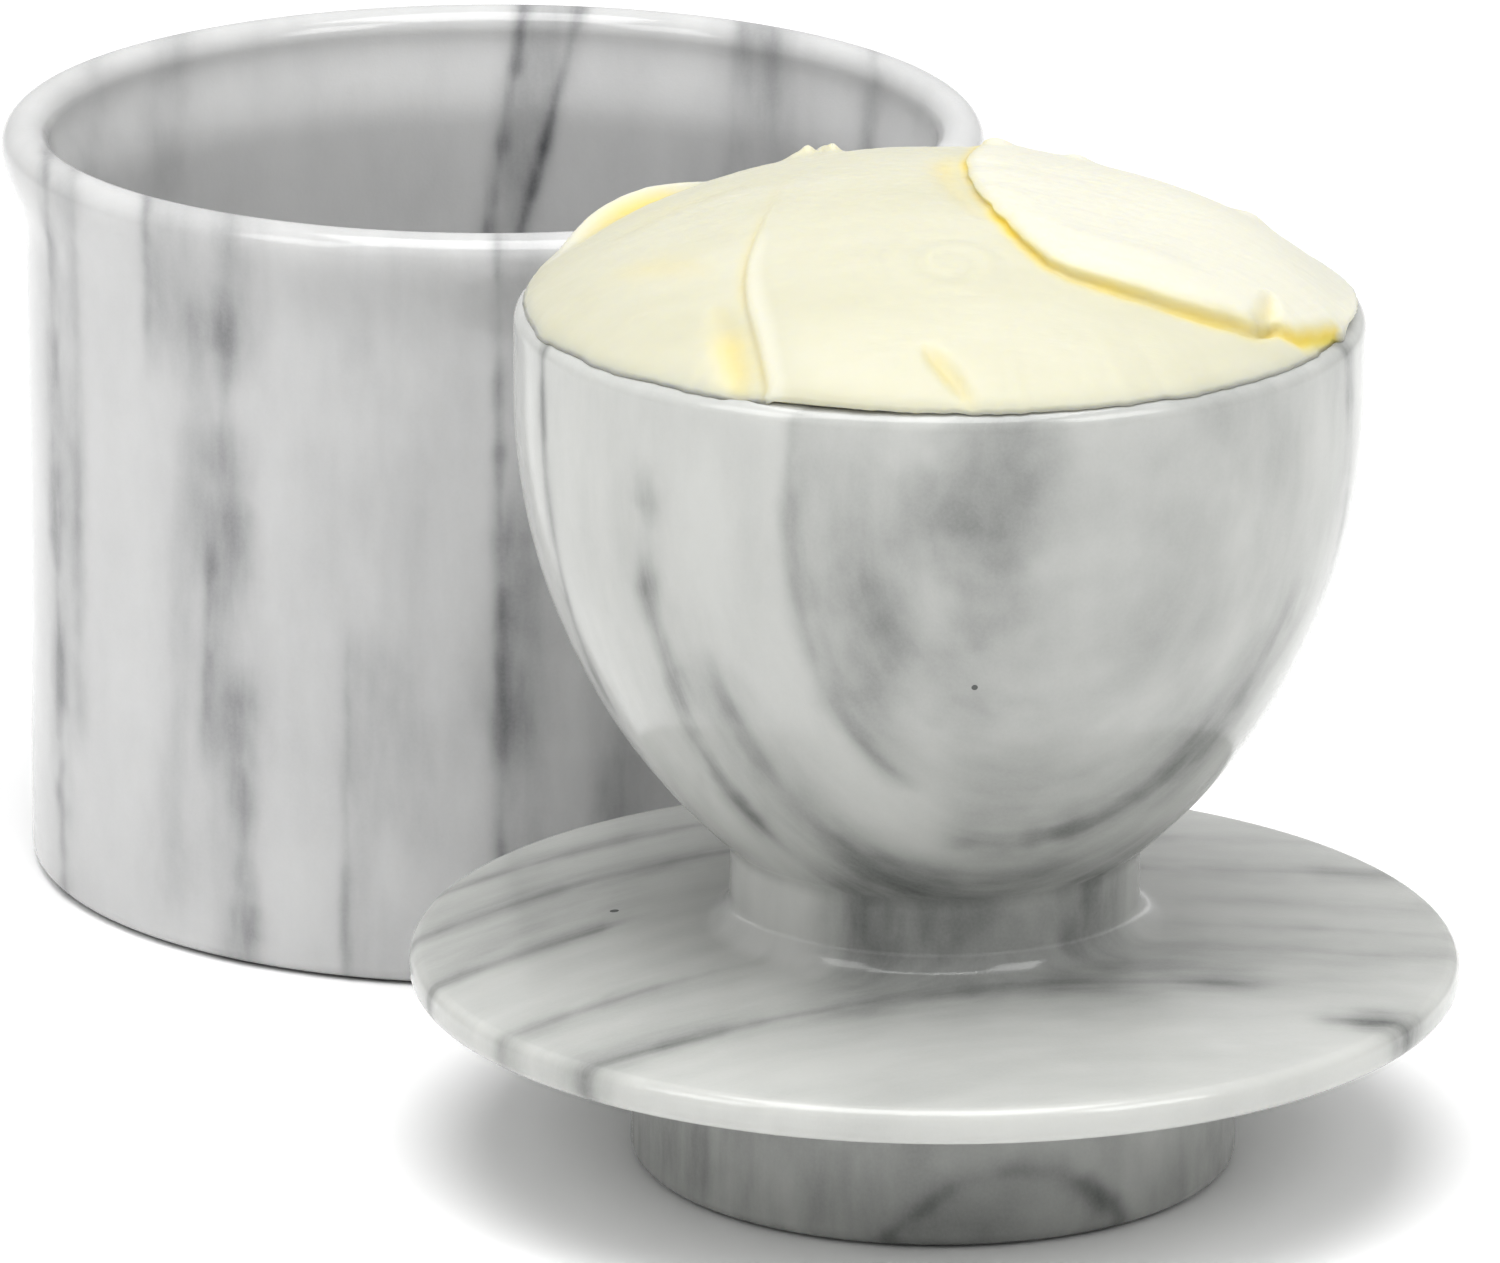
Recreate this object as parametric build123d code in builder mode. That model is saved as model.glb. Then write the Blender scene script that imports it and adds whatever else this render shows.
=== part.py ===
from build123d import *

import os
from math import atan, cos, radians, sin

# Turned-marble butter crock, in millimetres: a round pot for water, and a one-piece bell lid full of butter.
#
# The pot stands upright on the origin. The lid stands beside it, turned over on its knob as when the bell is
# being filled, so its mouth and the butter face up. Closed, the lid is turned back over: the bell hangs in the
# pot, clear of its wall and floor, and the low cone on that side of the flange rests on the crest of the lip.

# Pot
crock_height = 79.0
body_diameter = 97.5
body_wall = 5.0
floor_thickness = 8.0
base_edge_radius = 1.5
well_corner_radius = 7.0

# Rolled lip at the pot's mouth
lip_outset = 2.25
lip_thickness = 5.0
flare_height = 13.0
flare_pull_low = 1.5
flare_pull_high = 0.7

# Lid: knob, flange and neck, measured up from the end of the knob
knob_diameter = 59.0
knob_height = 16.2
knob_edge_radius = 1.4
knob_root_radius = 2.5
flange_edge_thickness = 3.4
flange_edge_radius = 1.4
flange_outer_fall = 1.5
flange_seat_rise = 2.6
neck_diameter = 39.8
neck_length = 8.0
neck_foot_radius = 3.0
neck_top_radius = 0.8

# Lid: bell
bell_clearance = 3.0
bell_floor_gap = 7.0
bell_wall = 5.5
bell_straight_length = 8.6
bell_floor_thickness = 12.0
bowl_least_flat = 4.0
bowl_least_straight = 2.0
bell_rim_radius = 1.8

# Butter
butter_clearance = 0.2
butter_mound_height = 13.4
butter_rim_cover = 3.4

# Where the turned-over lid stands beside the pot
stand_gap = 5.2
stand_angle = -65.3

# Pot levels and radii
body_radius = body_diameter / 2
bore_radius = body_radius - body_wall
lip_radius = body_radius + lip_outset
lip_inner_radius = lip_radius - lip_thickness
crest_radius = lip_radius - lip_thickness / 2
flare_start_z = crock_height - flare_height
lip_side_z = crock_height - lip_thickness / 2

# Lid levels and radii, with the knob down; the flange ends flush with the lip that it covers
knob_radius = knob_diameter / 2
flange_radius = lip_radius
neck_radius = neck_diameter / 2
flange_outer_z = knob_height + flange_outer_fall
flange_seat_z = flange_outer_z + flange_edge_thickness
neck_foot_z = flange_seat_z + flange_seat_rise
neck_top_z = neck_foot_z + neck_length
seat_slope = flange_seat_rise / (flange_radius - neck_radius)
crest_seat_z = flange_seat_z + seat_slope * (flange_radius - crest_radius)
lip_tip_lift = lip_thickness / 2 * (1 / cos(atan(seat_slope)) - 1)
bell_radius = bore_radius - bell_clearance
bell_inner_radius = bell_radius - bell_wall
bell_rim_z = crest_seat_z + crock_height - floor_thickness - bell_floor_gap
bell_belly_z = bell_rim_z - bell_straight_length
bell_floor_z = neck_top_z + bell_floor_thickness
bowl_depth = bell_rim_z - bell_rim_radius - bowl_least_straight - bell_floor_z
bowl_radius = min(bell_inner_radius - bowl_least_flat, bowl_depth)
bowl_flat_radius = bell_inner_radius - bowl_radius
bowl_top_z = bell_floor_z + bowl_radius

# Place of the lid's axis, and the plane that its profiles are drawn in
stand_distance = lip_radius + flange_radius + stand_gap
lid_x = stand_distance * cos(radians(stand_angle))
lid_y = stand_distance * sin(radians(stand_angle))
lid_axis = Axis((lid_x, lid_y, 0), (0, 0, 1))
lid_plane = Plane(origin=(lid_x, lid_y, 0), x_dir=(1, 0, 0), z_dir=(0, -1, 0))

UP = (0, 1)
DOWN = (0, -1)
INWARD = (-1, 0)
OUTWARD = (1, 0)


def corner(sketch, radius, height):
    """The corner of a profile at that radius and height."""
    return sketch.vertices().sort_by_distance((radius, height))[0]


def make_crock():
    """The pot: straight sides inside and out, a round-cornered well, and a lip that rolls outwards."""
    with BuildPart() as crock:
        with BuildSketch(Plane.XZ) as profile:
            with BuildLine():
                Polyline((0, floor_thickness), (0, 0), (body_radius, 0), (body_radius, flare_start_z))
                Spline(
                    (body_radius, flare_start_z),
                    (lip_radius, lip_side_z),
                    tangents=[UP, UP],
                    tangent_scalars=[flare_pull_low, flare_pull_high],
                )
                ThreePointArc(
                    (lip_radius, lip_side_z),
                    (crest_radius, crock_height),
                    (lip_inner_radius, lip_side_z),
                )
                Spline(
                    (lip_inner_radius, lip_side_z),
                    (bore_radius, flare_start_z),
                    tangents=[DOWN, DOWN],
                    tangent_scalars=[flare_pull_high, flare_pull_low],
                )
                Polyline((bore_radius, flare_start_z), (bore_radius, floor_thickness), (0, floor_thickness))
            make_face()
            fillet(corner(profile, body_radius, 0), base_edge_radius)
            fillet(corner(profile, bore_radius, floor_thickness), well_corner_radius)
        revolve(axis=Axis.Z)
    crock.part.label = "crock"
    return crock.part


def make_lid():
    """The lid, turned from one block: knob, flange, neck and bell on one axis, with the bell's mouth up."""
    with BuildPart() as lid:
        with BuildSketch(lid_plane) as profile:
            with BuildLine():
                Polyline(
                    (0, bell_floor_z),
                    (0, 0),
                    (knob_radius, 0),
                    (knob_radius, knob_height),
                    (flange_radius, flange_outer_z),
                    (flange_radius, flange_seat_z),
                    (neck_radius, neck_foot_z),
                    (neck_radius, neck_top_z),
                )
                TangentArc((bell_radius, bell_belly_z), (neck_radius, neck_top_z), tangent=DOWN)
                Polyline(
                    (bell_radius, bell_belly_z),
                    (bell_radius, bell_rim_z),
                    (bell_inner_radius, bell_rim_z),
                    (bell_inner_radius, bowl_top_z),
                )
                TangentArc((bell_inner_radius, bowl_top_z), (bowl_flat_radius, bell_floor_z), tangent=DOWN)
                Line((bowl_flat_radius, bell_floor_z), (0, bell_floor_z))
            make_face()
            fillet(corner(profile, knob_radius, 0), knob_edge_radius)
            fillet(corner(profile, knob_radius, knob_height), knob_root_radius)
            fillet(corner(profile, flange_radius, flange_outer_z), flange_edge_radius)
            fillet(corner(profile, flange_radius, flange_seat_z), flange_edge_radius)
            fillet(corner(profile, neck_radius, neck_foot_z), neck_foot_radius)
            fillet(corner(profile, neck_radius, neck_top_z), neck_top_radius)
            fillet(corner(profile, bell_radius, bell_rim_z), bell_rim_radius)
            fillet(corner(profile, bell_inner_radius, bell_rim_z), bell_rim_radius)
        revolve(axis=lid_axis)
    lid.part.label = "lid"
    return lid.part


def make_butter():
    """The butter: it fills the bell, spreads over the bell's rim and rises in a low mound."""
    plug_radius = bell_inner_radius - butter_clearance
    plug_bottom_z = bell_floor_z + butter_clearance
    mound_foot_z = bell_rim_z + butter_clearance
    mound_radius = bell_inner_radius + butter_rim_cover
    mound_top_z = bell_rim_z + butter_mound_height
    with BuildPart() as butter:
        with BuildSketch(lid_plane):
            with BuildLine():
                Polyline((0, mound_top_z), (0, plug_bottom_z), (bowl_flat_radius, plug_bottom_z))
                TangentArc((bowl_flat_radius, plug_bottom_z), (plug_radius, bowl_top_z), tangent=OUTWARD)
                Polyline((plug_radius, bowl_top_z), (plug_radius, mound_foot_z), (mound_radius, mound_foot_z))
                Spline((mound_radius, mound_foot_z), (0, mound_top_z), tangents=[UP, INWARD])
            make_face()
        revolve(axis=lid_axis)
    butter.part.label = "butter"
    return butter.part


def closed(piece):
    """The piece as it sits when the lid is turned back over and set down on the pot."""
    on_axis = piece.moved(Location((-lid_x, -lid_y, 0)))
    turned = on_axis.rotate(Axis.X, 180)
    return turned.moved(Location((0, 0, crock_height + lip_tip_lift + crest_seat_z)))


crock = make_crock()
lid = make_lid()
butter = make_butter()

os.makedirs("parts", exist_ok=True)
for piece in (crock, lid, butter):
    export_step(piece, f"parts/{piece.label}.step")

closed_overlap = sum(solid.volume for solid in (crock & closed(lid)).solids())
print(f"lid axis at x {lid_x:.2f}, y {lid_y:.2f}; bell rim {bell_rim_z:.2f} above the knob's end")
print(f"closed: overlap {closed_overlap:.3f} mm3, {crock.distance_to(closed(lid)):.3f} mm apart at the seat")
print(f"bell holds {butter.volume / 1000:.0f} ml of butter with its mound")
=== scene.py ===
import bpy
import math
import numpy as np
from collections import namedtuple
from mathutils import Matrix, Vector, noise


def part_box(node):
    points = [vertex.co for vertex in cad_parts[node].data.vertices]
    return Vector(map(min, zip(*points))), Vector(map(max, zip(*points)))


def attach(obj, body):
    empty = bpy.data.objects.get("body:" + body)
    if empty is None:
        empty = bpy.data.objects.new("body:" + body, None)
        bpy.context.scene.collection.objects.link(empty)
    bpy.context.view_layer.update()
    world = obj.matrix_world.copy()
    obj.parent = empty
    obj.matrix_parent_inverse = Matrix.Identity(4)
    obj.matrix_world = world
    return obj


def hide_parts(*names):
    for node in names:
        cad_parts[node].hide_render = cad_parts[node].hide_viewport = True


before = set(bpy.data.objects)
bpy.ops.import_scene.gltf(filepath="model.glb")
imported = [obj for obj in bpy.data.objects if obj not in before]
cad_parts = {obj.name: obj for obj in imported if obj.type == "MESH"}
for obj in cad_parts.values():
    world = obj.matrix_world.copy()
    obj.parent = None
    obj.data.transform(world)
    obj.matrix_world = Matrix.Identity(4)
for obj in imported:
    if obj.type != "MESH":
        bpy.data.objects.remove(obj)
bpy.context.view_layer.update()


# ------------------------------------------------------------------------------------------------------------
# The pot. One block of white marble with grey layers standing on edge in it, turned on a lathe to a straight
# wall, a round-cornered well and a lip rolled outwards, then polished. It is a lathe profile swept round by
# geometry nodes, with the slight unevenness that polishing by hand leaves.
# ------------------------------------------------------------------------------------------------------------

MM = 0.001
pot_low, pot_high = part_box("crock")
POT_HEIGHT = (pot_high.z - pot_low.z) / MM
POT_LIP_RADIUS = (pot_high.x - pot_low.x) / 2 / MM
POT_LIP_THICKNESS = 5.0
POT_LIP_OUTSET = 2.25
POT_WALL = 5.0
POT_FLOOR = 8.0
POT_FLARE = 13.0
POT_FOOT_ROUND = 1.5
POT_WELL_ROUND = 7.0


def arc(centre, radius, start, end, steps):
    """Points (radius from the axis, height) round part of a circle, from one angle to another, in degrees."""
    angles = [math.radians(start + (end - start) * i / steps) for i in range(steps + 1)]
    return [(centre[0] + radius * math.cos(a), centre[1] + radius * math.sin(a)) for a in angles]


def run(start, end, steps):
    """Evenly spaced points on a straight run, without its two ends."""
    shares = [i / steps for i in range(1, steps)]
    return [(start[0] + (end[0] - start[0]) * s, start[1] + (end[1] - start[1]) * s) for s in shares]


def flare(start, end, delay, steps):
    """Points on the S-curve of a flared wall, without its two ends. A delay over 1 bends it late."""
    shares = [i / steps for i in range(1, steps)]
    eased = [(s ** delay) ** 2 * (3 - 2 * s ** delay) for s in shares]
    out, up = end[0] - start[0], end[1] - start[1]
    return [(start[0] + out * e, start[1] + up * s) for s, e in zip(shares, eased)]


def pot_profile():
    """The pot's outline from the middle of its underside, up the outside, over the lip and to the floor."""
    body = POT_LIP_RADIUS - POT_LIP_OUTSET
    bore = body - POT_WALL
    lip_round = POT_LIP_THICKNESS / 2
    crest = POT_LIP_RADIUS - lip_round
    lip_side = POT_HEIGHT - lip_round
    flare_start = POT_HEIGHT - POT_FLARE
    foot = (body - POT_FOOT_ROUND, POT_FOOT_ROUND)
    well = (bore - POT_WELL_ROUND, POT_FLOOR + POT_WELL_ROUND)
    points = [(0, 0)]
    points += run((0, 0), (foot[0], 0), 12)
    points += arc(foot, POT_FOOT_ROUND, -90, 0, 8)
    points += run((body, foot[1]), (body, flare_start), 24)
    points += flare((body, flare_start), (POT_LIP_RADIUS, lip_side), 1.3, 14)
    points += arc((crest, lip_side), lip_round, 0, 180, 20)
    points += flare((bore, flare_start), (POT_LIP_RADIUS - POT_LIP_THICKNESS, lip_side), 1.3, 14)[::-1]
    points += run((bore, flare_start), (bore, well[1]), 20)
    points += arc(well, POT_WELL_ROUND, 0, -90, 14)
    points += run((well[0], POT_FLOOR), (0, POT_FLOOR), 12)
    return points + [(0, POT_FLOOR)]


def new_tree(name, kind, inputs=(), outputs=()):
    """An empty node group with named sockets, each a (name, type) or a (name, type, default)."""
    tree = bpy.data.node_groups.new(name, kind)
    for in_out, sockets in (("INPUT", inputs), ("OUTPUT", outputs)):
        for label, socket_type, *default in sockets:
            socket = tree.interface.new_socket(name=label, in_out=in_out, socket_type=socket_type)
            if default:
                socket.default_value = default[0]
    return tree


def place(tree, kind, values=None, **settings):
    """A new node with its settings, and its inputs set to values or linked to other nodes' outputs."""
    node = tree.nodes.new(kind)
    for key, value in settings.items():
        setattr(node, key, value)
    for key, value in (values or {}).items():
        if isinstance(value, bpy.types.NodeSocket):
            tree.links.new(value, node.inputs[key])
        else:
            node.inputs[key].default_value = value
    return node


def calc(tree, operation, *terms, clamp=False):
    """The output of a Math node."""
    node = place(tree, "ShaderNodeMath", dict(enumerate(terms)), operation=operation, use_clamp=clamp)
    return node.outputs[0]


def make_lathe():
    """Geometry nodes that turn a profile's points round an upright axis into one closed, smooth skin."""
    tree = new_tree(
        "lathe",
        "GeometryNodeTree",
        [
            ("Profile", "NodeSocketGeometry"),
            ("Segments", "NodeSocketInt", 288),
            ("Axis", "NodeSocketVector"),
            ("Unevenness", "NodeSocketFloat", 0.0),
            ("Seed", "NodeSocketFloat", 0.0),
            ("Material", "NodeSocketMaterial"),
        ],
        [("Skin", "NodeSocketGeometry")],
    )
    given = place(tree, "NodeGroupInput").outputs
    size = place(tree, "GeometryNodeAttributeDomainSize", {"Geometry": given["Profile"]}, component="MESH")
    count = size.outputs["Point Count"]
    columns = calc(tree, "ADD", given["Segments"], 1)
    grid = place(tree, "GeometryNodeMeshGrid", {"Vertices X": columns, "Vertices Y": count})
    index = place(tree, "GeometryNodeInputIndex").outputs[0]
    spot = place(tree, "GeometryNodeInputPosition").outputs[0]
    along = calc(tree, "FLOORED_MODULO", index, count)
    column = calc(tree, "FLOOR", calc(tree, "DIVIDE", calc(tree, "ADD", index, 0.5), count))
    turn = calc(tree, "MULTIPLY", calc(tree, "DIVIDE", column, given["Segments"]), math.tau)
    profile_point = place(
        tree,
        "GeometryNodeSampleIndex",
        {"Geometry": given["Profile"], "Value": spot, "Index": along},
        data_type="FLOAT_VECTOR",
    ).outputs[0]
    reach = place(tree, "ShaderNodeSeparateXYZ", {0: profile_point}).outputs
    east = calc(tree, "MULTIPLY", reach["X"], calc(tree, "COSINE", turn))
    north = calc(tree, "MULTIPLY", reach["X"], calc(tree, "SINE", turn))
    round_axis = place(tree, "ShaderNodeCombineXYZ", {"X": east, "Y": north, "Z": reach["Z"]}).outputs[0]
    placed = place(
        tree,
        "ShaderNodeVectorMath",
        {0: round_axis, 1: given["Axis"]},
        operation="ADD",
    ).outputs[0]
    turned = place(
        tree,
        "GeometryNodeSetPosition",
        {"Geometry": grid.outputs[0], "Position": placed},
    ).outputs[0]
    closed = place(tree, "GeometryNodeMergeByDistance", {"Geometry": turned, "Distance": 1e-6}).outputs[0]
    bumps = place(
        tree,
        "ShaderNodeTexNoise",
        {"Vector": spot, "W": given["Seed"], "Scale": 45.0, "Detail": 1.0},
        noise_dimensions="4D",
    ).outputs[0]
    inward = calc(tree, "MULTIPLY", calc(tree, "MULTIPLY", bumps, given["Unevenness"]), -1)
    level = place(
        tree,
        "ShaderNodeVectorMath",
        {0: place(tree, "GeometryNodeInputNormal").outputs[0], 1: (1, 1, 0)},
        operation="MULTIPLY",
    ).outputs[0]
    shift = place(tree, "ShaderNodeVectorMath", {0: level, "Scale": inward}, operation="SCALE").outputs[0]
    polished = place(tree, "GeometryNodeSetPosition", {"Geometry": closed, "Offset": shift}).outputs[0]
    smooth = place(tree, "GeometryNodeSetShadeSmooth", {"Geometry": polished}).outputs[0]
    whole = place(tree, "GeometryNodeRealizeInstances", {"Geometry": smooth}).outputs[0]
    finished = place(tree, "GeometryNodeSetMaterial", {"Geometry": whole, "Material": given["Material"]})
    place(tree, "NodeGroupOutput", {"Skin": finished.outputs[0]})
    return tree


lathe = make_lathe()


TURNED_SEGMENTS = 288
HAND_UNEVENNESS = 0.12


def turn_piece(name, profile, axis, seed, material):
    """A turned stone piece as a plain mesh: its profile, in millimetres, taken round its axis."""
    mesh = bpy.data.meshes.new(name)
    mesh.from_pydata([(r * MM, 0, z * MM) for r, z in profile], [], [])
    piece = bpy.data.objects.new(name, mesh)
    bpy.context.scene.collection.objects.link(piece)
    turning = piece.modifiers.new("lathe", "NODES")
    turning.node_group = lathe
    wanted = {
        "Segments": TURNED_SEGMENTS,
        "Axis": (axis.x, axis.y, 0.0),
        "Unevenness": HAND_UNEVENNESS * MM,
        "Seed": seed,
        "Material": material,
    }
    for item in lathe.interface.items_tree:
        if item.in_out == "INPUT" and item.name in wanted:
            turning[item.identifier] = wanted[item.name]
    bpy.context.view_layer.update()
    result = bpy.data.meshes.new_from_object(piece.evaluated_get(bpy.context.evaluated_depsgraph_get()))
    piece.modifiers.clear()
    piece.data = result
    result.name = name
    return piece


def blend_colours(tree, share, first, second):
    """A colour between two others, each given as three numbers or as another node's output."""
    node = place(tree, "ShaderNodeMix", {"Factor": share}, data_type="RGBA")
    for socket, colour in ((node.inputs[6], first), (node.inputs[7], second)):
        if isinstance(colour, bpy.types.NodeSocket):
            tree.links.new(colour, socket)
        else:
            socket.default_value = (*colour, 1)
    return node.outputs[2]


def make_stone_field():
    """Shader group: the slow drift, drawn-out streaks, clouds and crystal grain of layered marble."""
    tree = new_tree(
        "stone field",
        "ShaderNodeTree",
        [
            ("Across", "NodeSocketFloat"),
            ("Along", "NodeSocketFloat"),
            ("Height", "NodeSocketFloat"),
            ("Streak Length", "NodeSocketFloat", 7.0),
        ],
        [
            ("Wander", "NodeSocketFloat"),
            ("Streak", "NodeSocketFloat"),
            ("Cloud", "NodeSocketFloat"),
            ("Grain", "NodeSocketFloat"),
        ],
    )
    given = place(tree, "NodeGroupInput").outputs
    spot = place(
        tree,
        "ShaderNodeCombineXYZ",
        {0: given["Across"], 1: given["Along"], 2: given["Height"]},
    ).outputs[0]
    slow = place(
        tree,
        "ShaderNodeTexNoise",
        {"Vector": spot, "Scale": 0.07, "Detail": 2.0, "Roughness": 0.45},
    )
    quick = place(tree, "ShaderNodeTexNoise", {"Vector": spot, "Scale": 0.45, "Detail": 2.0})
    wander = calc(
        tree,
        "ADD",
        calc(tree, "MULTIPLY_ADD", slow.outputs[0], 7.0, -3.5),
        calc(tree, "MULTIPLY_ADD", quick.outputs[0], 1.6, -0.8),
    )
    drawn = place(
        tree,
        "ShaderNodeCombineXYZ",
        {
            0: given["Across"],
            1: calc(tree, "DIVIDE", given["Along"], given["Streak Length"]),
            2: calc(tree, "DIVIDE", given["Height"], given["Streak Length"]),
        },
    ).outputs[0]
    streaks = place(
        tree,
        "ShaderNodeTexNoise",
        {"Vector": drawn, "Scale": 0.42, "Detail": 3.0, "Roughness": 0.5},
    )
    streak = place(
        tree,
        "ShaderNodeMapRange",
        {"Value": streaks.outputs[0], "From Min": 0.34, "From Max": 0.66},
    )
    cloudy = place(
        tree,
        "ShaderNodeCombineXYZ",
        {
            0: given["Across"],
            1: calc(tree, "DIVIDE", given["Along"], 2.5),
            2: calc(tree, "DIVIDE", given["Height"], 2.5),
        },
    ).outputs[0]
    clouds = place(
        tree,
        "ShaderNodeTexNoise",
        {"Vector": cloudy, "Scale": 0.16, "Detail": 3.0, "Roughness": 0.55},
    )
    cloud = place(
        tree,
        "ShaderNodeMapRange",
        {"Value": clouds.outputs[0], "From Min": 0.33, "From Max": 0.7},
    )
    crystals = place(
        tree,
        "ShaderNodeTexNoise",
        {"Vector": spot, "Scale": 2.6, "Detail": 2.0, "Roughness": 0.7},
    )
    grain = calc(tree, "MULTIPLY_ADD", crystals.outputs[0], 2.0, -1.0)
    place(
        tree,
        "NodeGroupOutput",
        {"Wander": wander, "Streak": streak.outputs[0], "Cloud": cloud.outputs[0], "Grain": grain},
    )
    return tree


def make_grey_vein():
    """Shader group: how dark one grey layer is at a point, with a streaky core and a soft haze each side."""
    numbers = ["Across", "Along", "Height", "Wander", "Streak", "Cloud", "At", "Lean", "Middle", "Wavy"]
    numbers += ["Width", "Dark", "Haze Low", "Haze High", "Haze Dark", "Bottom", "Top", "From", "To"]
    tree = new_tree(
        "grey vein",
        "ShaderNodeTree",
        [(n, "NodeSocketFloat") for n in numbers],
        [("Shade", "NodeSocketFloat")],
    )
    given = place(tree, "NodeGroupInput").outputs
    leaning = calc(tree, "MULTIPLY", calc(tree, "SUBTRACT", given["Height"], given["Middle"]), given["Lean"])
    wavering = calc(tree, "MULTIPLY", given["Wander"], given["Wavy"])
    line = calc(tree, "ADD", calc(tree, "ADD", given["At"], leaning), wavering)
    off = calc(tree, "SUBTRACT", given["Across"], line)
    own = place(
        tree,
        "ShaderNodeCombineXYZ",
        {
            0: calc(tree, "MULTIPLY", given["At"], 3.7),
            1: calc(tree, "DIVIDE", given["Along"], 9.0),
            2: calc(tree, "DIVIDE", given["Height"], 9.0),
        },
    ).outputs[0]
    patches = place(tree, "ShaderNodeTexNoise", {"Vector": own, "Scale": 1.0, "Detail": 2.0})
    patch = place(
        tree,
        "ShaderNodeMapRange",
        {"Value": patches.outputs[0], "From Min": 0.36, "From Max": 0.62},
    ).outputs[0]
    swell = calc(tree, "MULTIPLY", given["Width"], calc(tree, "MULTIPLY_ADD", patch, 1.1, 0.6))
    near = calc(tree, "POWER", calc(tree, "DIVIDE", off, swell), 2.0)
    core = calc(tree, "MULTIPLY", calc(tree, "EXPONENT", calc(tree, "MULTIPLY", near, -1)), given["Dark"])
    core = calc(tree, "MULTIPLY", core, calc(tree, "MULTIPLY_ADD", patch, 0.85, 0.12))
    core = calc(tree, "MULTIPLY", core, calc(tree, "MULTIPLY_ADD", given["Streak"], 0.6, 0.55))
    low = calc(tree, "MAXIMUM", calc(tree, "DIVIDE", calc(tree, "MULTIPLY", off, -1), given["Haze Low"]), 0.0)
    high = calc(tree, "MAXIMUM", calc(tree, "DIVIDE", off, given["Haze High"]), 0.0)
    reach = calc(tree, "POWER", calc(tree, "ADD", low, high), 2.0)
    haze = calc(tree, "EXPONENT", calc(tree, "MULTIPLY", reach, -0.6))
    haze = calc(tree, "MULTIPLY", haze, given["Haze Dark"])
    haze = calc(tree, "MULTIPLY", haze, calc(tree, "MULTIPLY_ADD", given["Cloud"], 0.5, 0.45))
    haze = calc(tree, "MULTIPLY", haze, calc(tree, "MULTIPLY_ADD", given["Streak"], 0.4, 0.75))
    shade = calc(tree, "ADD", core, haze)
    for value, low_end, high_end, fade in (("Height", "Bottom", "Top", 7.0), ("Along", "From", "To", 8.0)):
        rising = place(
            tree,
            "ShaderNodeMapRange",
            {
                "Value": given[value],
                "From Min": calc(tree, "SUBTRACT", given[low_end], fade / 2),
                "From Max": calc(tree, "ADD", given[low_end], fade / 2),
            },
            interpolation_type="SMOOTHSTEP",
        ).outputs[0]
        falling = place(
            tree,
            "ShaderNodeMapRange",
            {
                "Value": given[value],
                "From Min": calc(tree, "ADD", given[high_end], fade / 2),
                "From Max": calc(tree, "SUBTRACT", given[high_end], fade / 2),
            },
            interpolation_type="SMOOTHSTEP",
        ).outputs[0]
        shade = calc(tree, "MULTIPLY", shade, calc(tree, "MULTIPLY", rising, falling))
    place(tree, "NodeGroupOutput", {"Shade": calc(tree, "MINIMUM", shade, 1.0)})
    return tree


stone_field = make_stone_field()
grey_vein = make_grey_vein()

# One grey layer of the stone, in millimetres: where it lies across the block at the middle of its height, how
# it leans, how much it wavers, the width and darkness of its core, the reach and darkness of the haze beside
# it, and the heights and the places along it where it begins and ends
Vein = namedtuple("Vein", "at lean wavy width dark haze_low haze_high haze_dark bottom top start end")


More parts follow.
